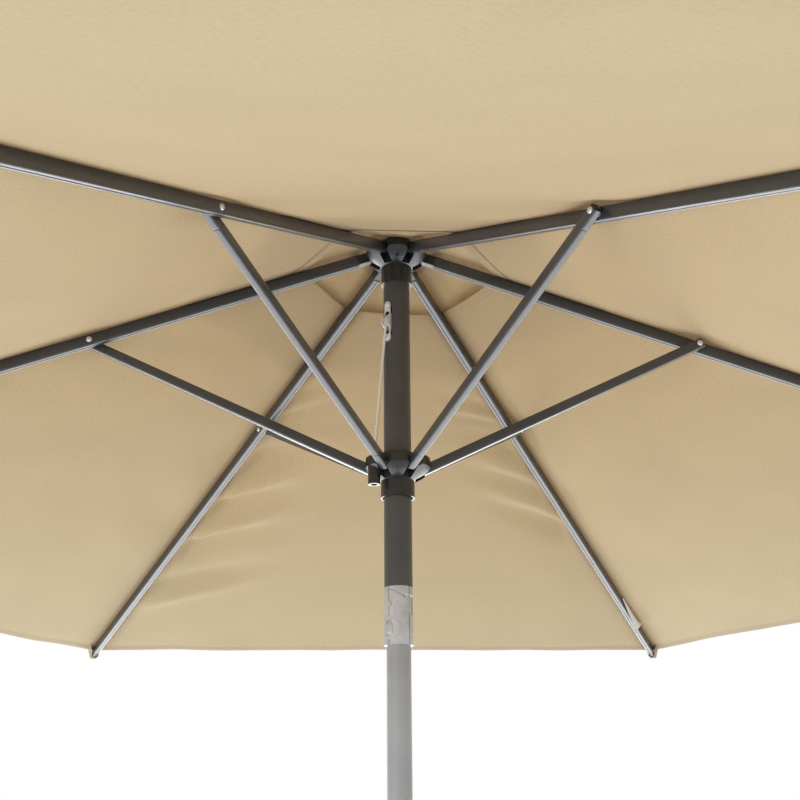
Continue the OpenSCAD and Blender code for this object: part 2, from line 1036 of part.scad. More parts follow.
canopy(1);  // canopy_1
canopy(2);  // canopy_2
canopy(3);  // canopy_3
canopy(4);  // canopy_4
canopy(5);  // canopy_5
canopy(6);  // canopy_6
rib(1);  // rib_1
rib(2);  // rib_2
rib(3);  // rib_3
rib(4);  // rib_4
rib(5);  // rib_5
rib(6);  // rib_6
rib_ends(1);  // rib_ends_1
rib_ends(2);  // rib_ends_2
rib_ends(3);  // rib_ends_3
rib_ends(4);  // rib_ends_4
rib_ends(5);  // rib_ends_5
rib_ends(6);  // rib_ends_6
strut(1);  // strut_1
strut(2);  // strut_2
strut(3);  // strut_3
strut(4);  // strut_4
strut(5);  // strut_5
strut(6);  // strut_6
strut_ends(1);  // strut_ends_1
strut_ends(2);  // strut_ends_2
strut_ends(3);  // strut_ends_3
strut_ends(4);  // strut_ends_4
strut_ends(5);  // strut_ends_5
strut_ends(6);  // strut_ends_6
hub();
hub_pins();
finial();
runner();
cord_knot();
upper_pole();
tilt_upper();
pulley_bracket();
cap_patch();
pulley_wheel();
cord_outer();
cord_upper();
lower_pole();
pole_foot();
tilt_lower();
tilt_pin();
tilt_button();
button_spring();
cord_lower();
crank_housing();
housing_screws();
crank_spool();
crank_arm();
crank_grip();
base_plate();
base_feet();
base_tube();
base_bolts();
base_bush();
clamp_knob();
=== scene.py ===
import json
import math

import bmesh
import bpy
import numpy as np
from mathutils import Matrix, Vector, noise


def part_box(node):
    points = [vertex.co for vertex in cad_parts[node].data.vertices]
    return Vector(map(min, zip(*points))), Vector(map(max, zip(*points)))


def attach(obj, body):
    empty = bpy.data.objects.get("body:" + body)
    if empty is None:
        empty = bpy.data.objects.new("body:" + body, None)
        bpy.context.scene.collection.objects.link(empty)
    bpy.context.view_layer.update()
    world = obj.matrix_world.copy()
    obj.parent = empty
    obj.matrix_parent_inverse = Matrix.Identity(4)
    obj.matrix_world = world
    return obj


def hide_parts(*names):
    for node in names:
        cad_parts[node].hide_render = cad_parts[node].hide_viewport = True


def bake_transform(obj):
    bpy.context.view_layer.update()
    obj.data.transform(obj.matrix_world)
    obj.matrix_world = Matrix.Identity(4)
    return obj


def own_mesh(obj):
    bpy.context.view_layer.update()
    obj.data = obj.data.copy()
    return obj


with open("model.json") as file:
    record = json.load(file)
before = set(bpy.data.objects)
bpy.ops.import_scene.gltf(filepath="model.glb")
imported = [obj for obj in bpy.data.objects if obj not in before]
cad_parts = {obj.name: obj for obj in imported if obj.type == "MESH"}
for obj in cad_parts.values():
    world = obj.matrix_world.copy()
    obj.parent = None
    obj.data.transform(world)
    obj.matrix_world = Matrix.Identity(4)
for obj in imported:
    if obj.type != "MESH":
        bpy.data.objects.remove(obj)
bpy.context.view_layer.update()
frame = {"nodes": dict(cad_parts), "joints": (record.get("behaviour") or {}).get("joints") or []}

# ------------------------------------------------------------------ sizes, in metres

JOINTS = {joint["name"]: joint for joint in frame["joints"]}
PIVOT = Vector(JOINTS["rib_hinge_1"]["pos_m"])
RIVET = Vector(JOINTS["strut_hinge_1"]["pos_m"])
HUB_HEIGHT = PIVOT.z
SLOPE = math.atan2(PIVOT.z - RIVET.z, RIVET.x - PIVOT.x)
PULLEY_HEIGHT = JOINTS["pulley_turn"]["pos_m"][2]

RIBS = range(1, 7)
RIB_WIDTH, RIB_HEIGHT, RIB_CORNER = 0.012, 0.018, 0.003
RIB_LENGTH = 1.280
TUBE_START, TIP_LENGTH = 0.019, 0.022
WALL, FIT, EASE = 0.0012, 0.0002, 0.0006

STRUT_WIDTH, STRUT_HEIGHT, STRUT_CORNER = 0.011, 0.014, 0.0025
STRUT_LENGTH = 0.439
STRUT_OVERHANG = 0.0055
STRUT_OFFSET_TOP, STRUT_OFFSET_FOOT = 0.0136, 0.0015
COLLAR_DROP = 0.041
RUNNER_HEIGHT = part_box("runner")[0].z + COLLAR_DROP
STRUT_SLOPE = math.asin((RIVET.z - RUNNER_HEIGHT) / STRUT_LENGTH)
STRUT_SKEW = math.asin((STRUT_OFFSET_TOP - STRUT_OFFSET_FOOT) / STRUT_LENGTH)

# Cloth: "reach" is the distance from the pole at which a level line of a panel crosses the rib.
TAN30, COS30 = math.tan(math.radians(30)), math.cos(math.radians(30))
HALF_PANEL = 0.75 * TAN30
FALL = math.tan(SLOPE)
RIB_TOP = HUB_HEIGHT + PIVOT.x * FALL + RIB_HEIGHT / 2 / math.cos(SLOPE)
VENT_REACH = PIVOT.x + 0.105 * math.cos(SLOPE)
TIP_REACH = PIVOT.x + (RIB_LENGTH + 0.006) * math.cos(SLOPE)
CAP_REACH = PIVOT.x + 0.290 * math.cos(SLOPE)
CAP_INNER = 0.058
PATCH_RADIUS = 0.062
EDGE_BOW, FRONT_BOW, CAP_BOW = 0.030, 0.016, 0.012
VENT_GROWTH, VENT_SHIFT, VENT_SHIFT_TURN = 0.005, 0.008, math.radians(30)
CORNER_REACH, CORNER_SHARE = 0.008, 0.035
CLEARANCE = 0.0010
SAG = 0.016
CANOPY_HEM, CAP_HEM = 0.016, 0.010
HEM_FALL, HEM_LAYER = 0.6, 0.0013
SEAM_COLUMNS, SEAM_HALF, SEAM_RISE = (0.0, 0.0055, 0.0075), 0.006, 0.0007
TENT_OFFSET, TENT_LENGTH, TENT_WIDTH, TENT_HEIGHT = 0.017, 0.036, 0.026, 0.0062

# The lift side is where the pulley, the crank and the tilt button are; the lug is on the runner.
LIFT_TURN = Matrix.Rotation(math.radians(225), 4, "Z")
LUG_TURN = Matrix.Rotation(math.radians(-150), 4, "Z")
LUG_REACH = 0.038
CORD_RADIUS, OUTER_CORD_RADIUS, KNOT_CORD_RADIUS = 0.0015, 0.0018, 0.0012


def rib_frame(number):
    """Frame of one rib: +X runs from its hinge to its tip, +Z is square to it."""
    turn = Matrix.Rotation(math.radians(60 * (number - 1)), 4, "Z")
    return turn @ Matrix.Translation((PIVOT.x, 0, HUB_HEIGHT)) @ Matrix.Rotation(SLOPE, 4, "Y")


def strut_frame(number):
    """Frame of one strut: +X runs from its rivet to its foot on the runner."""
    turn = Matrix.Rotation(math.radians(60 * (number - 1)), 4, "Z")
    place = Matrix.Translation((RIVET.x, -STRUT_OFFSET_TOP, RIVET.z))
    lean = Matrix.Rotation(math.pi - STRUT_SLOPE, 4, "Y") @ Matrix.Rotation(STRUT_SKEW, 4, "Z")
    return turn @ place @ lean


# ------------------------------------------------------------------ mesh helpers


def loft(rings, closed=True):
    """Vertices and faces of a tube through rings of points with equal counts, closed at its ends or open."""
    count = len(rings[0])
    vertices = [tuple(p) for ring in rings for p in ring]
    faces = []
    for i in range(len(rings) - 1):
        for k in range(count):
            a, b = i * count + k, i * count + (k + 1) % count
            faces.append((a, b, b + count, a + count))
    if closed:
        last = (len(rings) - 1) * count
        faces.append(tuple(range(count))[::-1])
        faces.append(tuple(range(last, last + count)))
    return vertices, faces


def joined(*parts):
    """One list of vertices and one of faces from several such pairs."""
    vertices, faces = [], []
    for part_vertices, part_faces in parts:
        start = len(vertices)
        vertices += part_vertices
        faces += [tuple(i + start for i in face) for face in part_faces]
    return vertices, faces


def placed(part, matrix):
    """The same mesh data with its vertices moved by a matrix."""
    vertices, faces = part
    return [tuple(matrix @ Vector(v)) for v in vertices], faces


def revolved(profile, count=40):
    """A closed solid turned about +Z from (radius, height) pairs; it starts and ends on the axis."""
    rings = []
    for radius, height in profile:
        r = max(radius, 1e-5)
        rings.append([
            (r * math.cos(math.tau * k / count), r * math.sin(math.tau * k / count), height)
            for k in range(count)
        ])
    return loft(rings)


def swept(points, radius, sides=16):
    """A round tube along a list of points."""
    points = [Vector(p) for p in points]
    rings = []
    side = None
    for i, point in enumerate(points):
        ahead = points[min(i + 1, len(points) - 1)] - points[max(i - 1, 0)]
        ahead.normalize()
        if side is None:
            side = ahead.cross(Vector((0, 1, 0) if abs(ahead.y) < 0.9 else (0, 0, 1)))
        side = (side - ahead * side.dot(ahead)).normalized()
        other = ahead.cross(side)
        rings.append([
            point + side * radius * math.cos(math.tau * k / sides)
            + other * radius * math.sin(math.tau * k / sides)
            for k in range(sides)
        ])
    return loft(rings)


def smooth_path(points, steps=6):
    """Points of a Catmull-Rom curve through the given ones."""
    points = [Vector(p) for p in points]
    ends = [2 * points[0] - points[1]] + points + [2 * points[-1] - points[-2]]
    path = []
    for i in range(1, len(ends) - 2):
        a, b, c, d = ends[i - 1:i + 3]
        for k in range(steps):
            t = k / steps
            path.append(0.5 * (2 * b + (c - a) * t + (2 * a - 5 * b + 4 * c - d) * t ** 2
                               + (3 * b - a - 3 * c + d) * t ** 3))
    path.append(points[-1])
    return path


def new_mesh(name, part, sharp=35, solid=True):
    """A smooth-shaded object whose edges above the angle, in degrees, stay sharp."""
    mesh = bpy.data.meshes.new(name)
    mesh.from_pydata(part[0], [], part[1])
    if solid:
        shape = bmesh.new()
        shape.from_mesh(mesh)
        bmesh.ops.recalc_face_normals(shape, faces=shape.faces)
        shape.to_mesh(mesh)
        shape.free()
    mesh.polygons.foreach_set("use_smooth", [True] * len(mesh.polygons))
    mesh.set_sharp_from_angle(angle=math.radians(sharp))
    mesh.update()
    piece = bpy.data.objects.new(name, mesh)
    bpy.context.scene.collection.objects.link(piece)
    return piece


def add_piece(name, part, material, body, nodes=(), sharp=35):
    """A piece that rides on a body and stands for CAD nodes."""
    piece = new_mesh(name, part, sharp)
    piece.data.materials.append(material)
    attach(piece, body)
    if nodes:
        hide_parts(*nodes)
    return piece


def add_sheet(name, grid, uvs, material):
    """A cloth sheet from a grid of points, with texture coordinates in metres."""
    rows, columns = grid.shape[:2]
    faces = []
    for i in range(rows - 1):
        for k in range(columns - 1):
            a = i * columns + k
            faces.append((a, a + 1, a + columns + 1, a + columns))
    part = ([tuple(p) for p in grid.reshape(-1, 3)], faces)
    piece = new_mesh(name, part, sharp=60, solid=False)
    corners = np.zeros(len(piece.data.loops), np.int32)
    piece.data.loops.foreach_get("vertex_index", corners)
    for layer_name, layer in uvs.items():
        uv = piece.data.uv_layers.new(name=layer_name)
        uv.data.foreach_set("uv", layer.reshape(-1, 2)[corners].astype(np.float32).ravel())
    piece.data.materials.append(material)
    return piece


# ------------------------------------------------------------------ material helpers


class Surface:
    """A material being built: named nodes, linked or set through one call."""

    def __init__(self, name, **principled):
        self.material = bpy.data.materials.new(name)
        self.material.use_nodes = True
        self.tree = self.material.node_tree
        self.shader = self.tree.nodes["Principled BSDF"]
        self.output = self.tree.nodes["Material Output"]
        for socket, value in principled.items():
            self.shader.inputs[socket.replace("_", " ")].default_value = value

    def node(self, kind, inputs=(), **properties):
        node = self.tree.nodes.new(kind)
        for name, value in properties.items():
            setattr(node, name, value)
        for key, value in dict(inputs).items():
            self.set(node, key, value)
        return node

    def set(self, node, key, value):
        socket = node.inputs[key]
        if isinstance(value, bpy.types.NodeSocket):
            self.tree.links.new(value, socket)
        else:
            socket.default_value = value

    def math(self, operation, a, b=0.0):
        return self.node("ShaderNodeMath", {0: a, 1: b}, operation=operation).outputs[0]

    def noise(self, vector, scale, detail=3.0, roughness=0.55):
        inputs = {"Vector": vector, "Scale": scale, "Detail": detail, "Roughness": roughness}
        return self.node("ShaderNodeTexNoise", inputs).outputs["Fac"]

    def shaded(self, colour, share, shade):
        """The colour, multiplied by a shade where the share is 1 and unchanged where it is 0."""
        node = self.node("ShaderNodeMix", data_type="RGBA", blend_type="MULTIPLY")
        self.set(node, 0, share)
        self.set(node, 6, colour)
        self.set(node, 7, (*shade, 1))
        return node.outputs[2]

    def range(self, value, low, high, to_low=0.0, to_high=1.0):
        inputs = {0: value, 1: low, 2: high, 3: to_low, 4: to_high}
        return self.node("ShaderNodeMapRange", inputs).outputs[0]

    def bump(self, height, distance, strength=1.0):
        inputs = {"Height": height, "Distance": distance, "Strength": strength}
        return self.node("ShaderNodeBump", inputs).outputs["Normal"]

    def place(self):
        return self.node("ShaderNodeTexCoord").outputs["Object"]

    def scaled(self, colour, level):
        """The colour, made lighter or darker by a level that varies over the surface."""
        node = self.node("ShaderNodeVectorMath", {0: (*colour,)}, operation="SCALE")
        self.set(node, "Scale", level)
        return node.outputs[0]

    def finish(self, colour, level, normal, roughness=None):
        """Sets the base colour and the normal, and the roughness where it varies."""
        self.set(self.shader, "Base Color", self.scaled(colour, level))
        self.set(self.shader, "Normal", normal)
        if roughness is not None:
            self.set(self.shader, "Roughness", roughness)
        return self.material


CLOTH_COLOUR = (0.660, 0.545, 0.345)


def stitched(surface, along, across, lines):
    """1 on a row of stitches at each distance in lines, along a seam, and 0 elsewhere."""
    dashes = surface.math("PINGPONG", along, 0.0016)
    dash = surface.range(dashes, 0.00035, 0.0006)
    total = None
    for line in lines:
        offset = surface.math("ABSOLUTE", surface.math("SUBTRACT", across, line))
        row = surface.math("MULTIPLY", surface.range(offset, 0.0003, 0.0006, 1.0, 0.0), dash)
        total = row if total is None else surface.math("MAXIMUM", total, row)
    return total


def make_cloth():
    """Woven polyester: fine plain weave, slight slubs and soft light through it."""
    surface = Surface("canopy_cloth", Roughness=0.88, Sheen_Weight=0.12, Sheen_Roughness=0.5)
    surface.shader.inputs["Specular IOR Level"].default_value = 0.2
    cloth = surface.node("ShaderNodeUVMap", uv_map="cloth").outputs[0]
    split = surface.node("ShaderNodeSeparateXYZ", {0: cloth})
    along, across = split.outputs[0], split.outputs[1]
    hems = surface.node("ShaderNodeUVMap", uv_map="hems").outputs[0]
    hem_split = surface.node("ShaderNodeSeparateXYZ", {0: hems})
    to_edge, to_vent = hem_split.outputs[0], hem_split.outputs[1]

    warp = surface.math("PINGPONG", along, 0.00045)
    weft = surface.math("PINGPONG", across, 0.00045)
    weave = surface.math("ADD", warp, weft)
    slubs = surface.noise(cloth, 260.0, 2.0)
    broad = surface.noise(cloth, 5.0, 3.0)
    edge_rows = stitched(surface, across, to_edge, (0.0025, 0.0125))
    vent_rows = stitched(surface, across, to_vent, (0.0065, 0.0115))
    seam_rows = stitched(surface, along, surface.math("ABSOLUTE", across), (0.0035,))
    stitches = surface.math("MAXIMUM", surface.math("MAXIMUM", edge_rows, vent_rows), seam_rows)

    level = surface.range(slubs, 0.3, 0.7, 0.94, 1.05)
    level = surface.math("MULTIPLY", level, surface.range(broad, 0.3, 0.7, 0.97, 1.03))
    level = surface.math("MULTIPLY", level, surface.range(weave, 0.0, 0.0009, 0.95, 1.04))
    level = surface.math("MULTIPLY", level, surface.range(stitches, 0.0, 1.0, 1.0, 0.84))
    colour = surface.scaled(CLOTH_COLOUR, level)
    # Painted shade: towards the vent the cloth is darkened and browned, over the middle of the canopy and on
    # the cap, where less light reaches; beside each rib it is darker where the seam doubles the cloth, with
    # a painted shadow of the rib added.
    painted_vent_shade = surface.range(to_vent, 0.10, 0.85, 1.0, 0.0)
    # Seam strip: the doubled cloth of the seam and a painted shadow of the rib, darker within about 20 mm of
    # it.
    seam = surface.range(surface.math("ABSOLUTE", across), 0.007, 0.020, 1.0, 0.0)
    # Painted shade multiplied into the cloth colour: first towards the vent, then along the seams.
    painted_shade_colour = surface.shaded(colour, painted_vent_shade, (0.90, 0.81, 0.72))
    painted_shade_colour = surface.shaded(painted_shade_colour, surface.math("MULTIPLY", seam, 0.8), (0.72, 0.62, 0.55))
    surface.set(surface.shader, "Base Color", painted_shade_colour)

    relief = surface.math("ADD", weave, surface.math("MULTIPLY", slubs, 0.0004))
    relief = surface.math("SUBTRACT", relief, surface.math("MULTIPLY", stitches, 0.0012))
    surface.set(surface.shader, "Normal", surface.bump(relief, 0.35, 0.5))

    through = surface.node("ShaderNodeVectorMath", {0: painted_shade_colour, 1: (0.86, 0.74, 0.58)},
                           operation="MULTIPLY")
    glow = surface.node("ShaderNodeBsdfTranslucent", {"Color": through.outputs[0]})
    both = surface.node("ShaderNodeMixShader", {0: 0.13, 1: surface.shader.outputs[0],
                                                2: glow.outputs[0]})
    surface.set(surface.output, "Surface", both.outputs[0])
    return surface.material


def make_paint(name, colour, roughness, grain=2600.0, coat=0.35):
    """Powder coat: fine orange peel, a little broad variation in gloss, clear coat on top."""
    surface = Surface(name, Metallic=0.1, Coat_Weight=coat, Coat_Roughness=0.16)
    spot = surface.place()
    peel = surface.noise(spot, grain, 2.0)
    broad = surface.noise(spot, 18.0, 4.0)
    level = surface.range(broad, 0.3, 0.7, 0.90, 1.10)
    fleck = surface.range(peel, 0.35, 0.65, 0.93, 1.07)
    gloss = surface.range(broad, 0.3, 0.7, roughness * 0.85, roughness * 1.15)
    level = surface.math("MULTIPLY", level, fleck)
    return surface.finish(colour, level, surface.bump(peel, 0.00012, 0.6), gloss)


def make_plastic(name, colour, roughness):
    """Moulded plastic: a faint mould texture and softly worn patches at random."""
    surface = Surface(name, Coat_Weight=0.25, Coat_Roughness=0.12)
    spot = surface.place()
    fine = surface.noise(spot, 1500.0, 2.0)
    broad = surface.noise(spot, 45.0, 4.0)
    gloss = surface.range(broad, 0.3, 0.7, roughness * 0.8, roughness * 1.25)
    level = surface.range(broad, 0.3, 0.75, 0.85, 1.2)
    return surface.finish(colour, level, surface.bump(fine, 0.00008, 0.5), gloss)


def make_metal(name, colour, roughness, metallic, stretch=(900.0, 900.0, 60.0), depth=0.5):
    """Bare or plated metal with fine drawn lines; stretch sets their scale and depth their relief."""
    surface = Surface(name, Metallic=metallic)
    spot = surface.place()
    grain = surface.node("ShaderNodeMapping", {"Vector": spot, "Scale": stretch}).outputs[0]
    lines = surface.noise(grain, 1.0, 4.0)
    broad = surface.noise(spot, 60.0, 3.0)
    gloss = surface.range(lines, 0.3, 0.7, roughness * 0.75, roughness * 1.3)
    level = surface.range(broad, 0.3, 0.7, 0.88, 1.06)
    return surface.finish(colour, level, surface.bump(lines, 0.00006, depth), gloss)


def make_rubber():
    """Dull black rubber."""
    surface = Surface("rubber_feet", Roughness=0.85)
    fine = surface.noise(surface.place(), 900.0, 3.0)
    level = surface.range(fine, 0.3, 0.7, 0.8, 1.3)
    return surface.finish((0.03, 0.03, 0.031), level, surface.bump(fine, 0.0002, 0.6))


def make_braid():
    """White braided cord: strands that cross as the cord rises."""
    surface = Surface("lift_cord", Roughness=0.8, Sheen_Weight=0.2)
    spot = surface.place()
    split = surface.node("ShaderNodeSeparateXYZ", {0: spot})
    rise = split.outputs[2]
    turn = surface.math("ADD", split.outputs[0], surface.math("MULTIPLY", split.outputs[1], 1.3))
    one = surface.math("PINGPONG", surface.math("ADD", rise, turn), 0.0006)
    two = surface.math("PINGPONG", surface.math("SUBTRACT", rise, turn), 0.0006)
    strands = surface.math("MAXIMUM", one, two)
    level = surface.range(strands, 0.0, 0.0006, 0.75, 1.05)
    return surface.finish((0.88, 0.87, 0.84), level, surface.bump(strands, 0.5, 0.7))


def make_label():
    """White woven tape with nothing printed on it."""
    surface = Surface("label_white", Roughness=0.7)
    weave = surface.noise(surface.place(), 1200.0, 2.0)
    level = surface.range(weave, 0.3, 0.7, 0.95, 1.03)
    return surface.finish((0.86, 0.86, 0.85), level, surface.bump(weave, 0.0001, 0.5))


def make_floor():
    """Plain pale floor."""
    surface = Surface("floor", Roughness=0.9)
    broad = surface.noise(surface.place(), 0.8, 3.0)
    level = surface.range(broad, 0.3, 0.7, 0.98, 1.02)
    surface.set(surface.shader, "Base Color", surface.scaled((0.60, 0.60, 0.595), level))
    return surface.material


CLOTH = make_cloth()
RIB_PAINT = make_paint("frame_steel", (0.046, 0.051, 0.064), 0.32, coat=0.75)
UPPER_PAINT = make_paint("upper_pole_paint", (0.064, 0.068, 0.077), 0.42)
LOWER_PAINT = make_paint("lower_pole_paint", (0.36, 0.37, 0.39), 0.38)
BASE_PAINT = make_paint("base_paint", (0.060, 0.060, 0.063), 0.55, 1200.0, 0.15)
BLACK = make_plastic("black_plastic", (0.018, 0.020, 0.025), 0.32)
SILVER = make_metal("tilt_silver", (0.57, 0.59, 0.63), 0.34, 0.5, (700.0, 700.0, 90.0), 0.15)
ZINC = make_metal("zinc_steel", (0.85, 0.87, 0.92), 0.28, 0.6)
PLATED = make_metal("pale_plated_steel", (0.80, 0.83, 0.90), 0.32, 0.25)
NYLON = make_plastic("white_nylon", (0.80, 0.80, 0.78), 0.45)
RUBBER = make_rubber()
BRAID = make_braid()
LABEL = make_label()


# ------------------------------------------------------------------ ribs and struts


def bar_outline(width, height, corner, groove=0.0011):
    """Section of a rolled bar as (y, z) points, with the open seam of the roll along its lower face."""
    half, tall = width / 2, height / 2
    right = [(0.0005, -tall + groove), (0.0013, -tall + 0.0002), (0.0022, -tall)]
    for centre_z, start in ((-tall + corner, -90), (tall - corner, 0)):
        for k in range(6):
            angle = math.radians(start + 18 * k)
            right.append((half - corner + corner * math.cos(angle),
                          centre_z + corner * math.sin(angle)))
    return [(-y, z) for y, z in right[::-1]] + right


def section(outline, x, inset=0.0):
    """Ring of the section at x; inset shrinks it all round."""
    return [(x, y - math.copysign(min(inset, abs(y)), y), z - math.copysign(min(inset, abs(z)), z))
            for y, z in outline]


def open_tube(outline, start, end, crimps=()):
    """Tube with open ends; each crimp is a shallow line pressed in all round."""
    inside = 0.012
    groove = [(-0.0022, 0.0), (-0.0011, 0.0), (-0.0004, 0.0003),
              (0.0004, 0.0003), (0.0011, 0.0), (0.0022, 0.0)]
    rings = [section(outline, start + inside, WALL), section(outline, start, WALL),
             section(outline, start)]
    for crimp in crimps:
        rings += [section(outline, crimp + offset, depth) for offset, depth in groove]
    rings += [section(outline, end), section(outline, end, WALL),
              section(outline, end - inside, WALL)]
    return loft(rings, closed=False)


def make_rib(number):
    """Rolled tube of one rib, crimped over its hinge tongue."""
    outline = bar_outline(RIB_WIDTH, RIB_HEIGHT, RIB_CORNER)
    tube = open_tube(outline, TUBE_START, RIB_LENGTH - TIP_LENGTH, (TUBE_START + 0.022,))
    add_piece(f"rib_tube_{number}", placed(tube, rib_frame(number)), RIB_PAINT,
              f"rib_{number}", [f"rib_{number}"])


def rounded_bar(width, height, corner, start, end):
    """Solid bar along +X with eased ends."""
    outline = bar_outline(width, height, corner, 0.0)
    rings = [section(outline, start, EASE), section(outline, start + EASE),
             section(outline, end - EASE), section(outline, end, EASE)]
    return loft(rings)


def make_rib_ends(number):
    """Hinge tongue at the hub and rounded cap at the tip."""
    tongue = []
    half, tongue_radius, nose = RIB_WIDTH / 2, 0.0075, 0.0035
    for y, inset in ((-half, EASE), (-half + EASE, 0), (half - EASE, 0), (half, EASE)):
        radius = tongue_radius - inset
        ring = [(radius * math.cos(math.radians(a)), y, radius * math.sin(math.radians(a)))
                for a in range(90, 271, 12)]
        ring += [(TUBE_START, y, -radius), (TUBE_START, y, radius)]
        tongue.append(ring)
    neck = rounded_bar(RIB_WIDTH - 2 * WALL - FIT, RIB_HEIGHT - 2 * WALL - FIT, 0.0017,
                       TUBE_START - 0.001, TUBE_START + 0.02)
    outline = bar_outline(RIB_WIDTH, RIB_HEIGHT, RIB_CORNER, 0.0)
    join = RIB_LENGTH - TIP_LENGTH
    cap = [section(outline, join), section(outline, join + 0.0003, FIT)]
    for k in range(7):
        angle = math.radians(15 * k)
        inset = nose * (1 - math.cos(angle))
        cap.append(section(outline, RIB_LENGTH - nose + nose * math.sin(angle), inset))
    shape = joined(loft(tongue), neck, loft(cap))
    add_piece(f"rib_end_pieces_{number}", placed(shape, rib_frame(number)), BLACK,
              f"rib_{number}", [f"rib_ends_{number}"])


def make_strut(number):
    """Rolled tube of one strut, crimped over the plugs at its ends."""
    outline = bar_outline(STRUT_WIDTH, STRUT_HEIGHT, STRUT_CORNER)
    crimp = 0.022
    tube = open_tube(outline, -STRUT_OVERHANG, STRUT_LENGTH + STRUT_OVERHANG,
                     (crimp, STRUT_LENGTH - crimp))
    add_piece(f"strut_tube_{number}", placed(tube, strut_frame(number)), RIB_PAINT,
              f"strut_{number}", [f"strut_{number}"])


def strut_plug():
    """Black plug with a rounded nose just past the end of the tube."""
    outline = bar_outline(STRUT_WIDTH - 2 * WALL - FIT, STRUT_HEIGHT - 2 * WALL - FIT, 0.0012, 0.0)
    nose = [(0.0014, 0.0016), (0.0011, EASE), (0.0003, 0.0)]
    rings = [section(outline, -STRUT_OVERHANG - out, inset) for out, inset in nose]
    return loft(rings + [section(outline, 0.02)])


def dome(radius, height):
    """Rivet head standing on z = 0, with a short straight rim."""
    rim = 0.0003
    profile = [(0, -0.0002), (radius, -0.0002), (radius, rim)]
    for k in range(1, 9):
        angle = math.radians(90 * k / 8)
        profile.append((radius * math.cos(angle), rim + (height - rim) * math.sin(angle)))
    return revolved(profile, 28)


def make_strut_ends(number):
    """Plugs, the rivet and spacer that hold the strut to its rib, and the pin in its foot."""
    foot = Matrix.Translation((STRUT_LENGTH, 0, 0)) @ Matrix.Rotation(math.pi, 4, "Z")
    plugs = joined(strut_plug(), placed(strut_plug(), foot))
    add_piece(f"strut_plugs_{number}", placed(plugs, strut_frame(number)), BLACK,
              f"strut_{number}", [f"strut_ends_{number}"])

    head_gap, spacer_gap, ease = 0.0003, 0.00035, 0.0003
    shank_radius, spacer_radius, pin_radius = 0.0025, 0.005, 0.002
    near = -STRUT_OFFSET_TOP - STRUT_WIDTH / 2 - head_gap
    far = RIB_WIDTH / 2 + head_gap
    spacer_from = -STRUT_OFFSET_TOP + STRUT_WIDTH / 2 + spacer_gap
    spacer_to = -RIB_WIDTH / 2 - spacer_gap
    turn = Matrix.Rotation(math.radians(60 * (number - 1)), 4, "Z")
    centre = turn @ Matrix.Translation((RIVET.x, 0, RIVET.z))
    along = Matrix.Rotation(math.radians(-90), 4, "X")
    back = Matrix.Rotation(math.radians(90), 4, "X")
    shank = revolved([(0, near), (shank_radius, near), (shank_radius, far), (0, far)], 24)
    spacer = revolved([(0, spacer_from), (0.0046, spacer_from), (spacer_radius, spacer_from + ease),
                       (spacer_radius, spacer_to - ease), (0.0046, spacer_to), (0, spacer_to)], 28)
    head = dome(0.0042, 0.0022)
    rivet = joined(
        placed(joined(shank, spacer), along),
        placed(head, Matrix.Translation((0, far, 0)) @ along),
        placed(head, Matrix.Translation((0, near, 0)) @ back),
    )
    half = STRUT_WIDTH / 2 + 0.0004
    pin = revolved([(0, -half), (0.0017, -half), (pin_radius, -half + ease),
                    (pin_radius, half - ease), (0.0017, half), (0, half)], 20)
    foot_pin = placed(pin, strut_frame(number) @ Matrix.Translation((STRUT_LENGTH, 0, 0)) @ along)
    add_piece(f"strut_rivet_{number}", joined(placed(rivet, centre), foot_pin), ZINC,
              f"strut_{number}", [f"strut_ends_{number}"])


# ------------------------------------------------------------------ cloth


# Drag folds of the open canopy come in fans. Each fan leaves one rib on one side, between two
# reaches from the pole, with ridges and hollows in turn, and leans in towards the pole.
# The values are round numbers, given after the areas in which the picture shows folds.
# Columns: rib, side, first and last reach, number of folds, lean in degrees, height.
FANS = [
    (3, -1, 0.38, 0.44, 3, 30, 0.0055),
    (3, -1, 0.58, 0.86, 5, 26, 0.0185),
    (3, -1, 1.00, 1.05, 2, 22, 0.0110),
    (2, 1, 0.39, 0.44, 3, 18, 0.0042),
    (2, 1, 0.54, 0.78, 5, 32, 0.0140),
    (1, 1, 0.60, 0.95, 4, 18, 0.0022),
    (2, -1, 0.50, 0.80, 4, 24, 0.0022),
    (3, 1, 0.55, 0.90, 4, 20, 0.0024),
    (4, -1, 0.60, 1.00, 4, 16, 0.0024),
    (4, 1, 0.50, 0.85, 3, 24, 0.0018),
    (5, -1, 0.60, 1.00, 4, 20, 0.0020),
    (6, 1, 0.60, 0.95, 3, 18, 0.0018),
    (1, -1, 0.50, 0.90, 4, 22, 0.0020),
]
# A fold's length is a share of its reach and its half width a share of the spacing, within limits.
# It grows from nothing to its full height between two distances from its rib.
FOLD_LENGTH, FOLD_FILL, FOLD_WIDTHS = 0.36, 0.45, (0.009, 0.030)
FOLD_START = (0.0075, 0.034)


def folds_of(fan):
    """Start, direction, length, half width and height of each fold in a fan."""
    rib, side, first, last, count, lean, height = fan
    out = math.radians(60 * (rib - 1))
    way = out + side * math.radians(120 + lean)
    spacing = (last - first) / (count - 1)
    narrowest, widest = FOLD_WIDTHS
    width = min(max(spacing * FOLD_FILL, narrowest), widest)
    for i in range(count):
        reach = first + spacing * i
        start = (reach * math.cos(out), reach * math.sin(out))
        direction = (math.cos(way), math.sin(way))
        yield start, direction, FOLD_LENGTH * reach, width, height * (-1) ** i


def panel_of(rib, side):
    """Number of the panel on one side of a rib: the number of the rib it starts from, going left."""
    return (rib if side > 0 else rib - 1) % 6


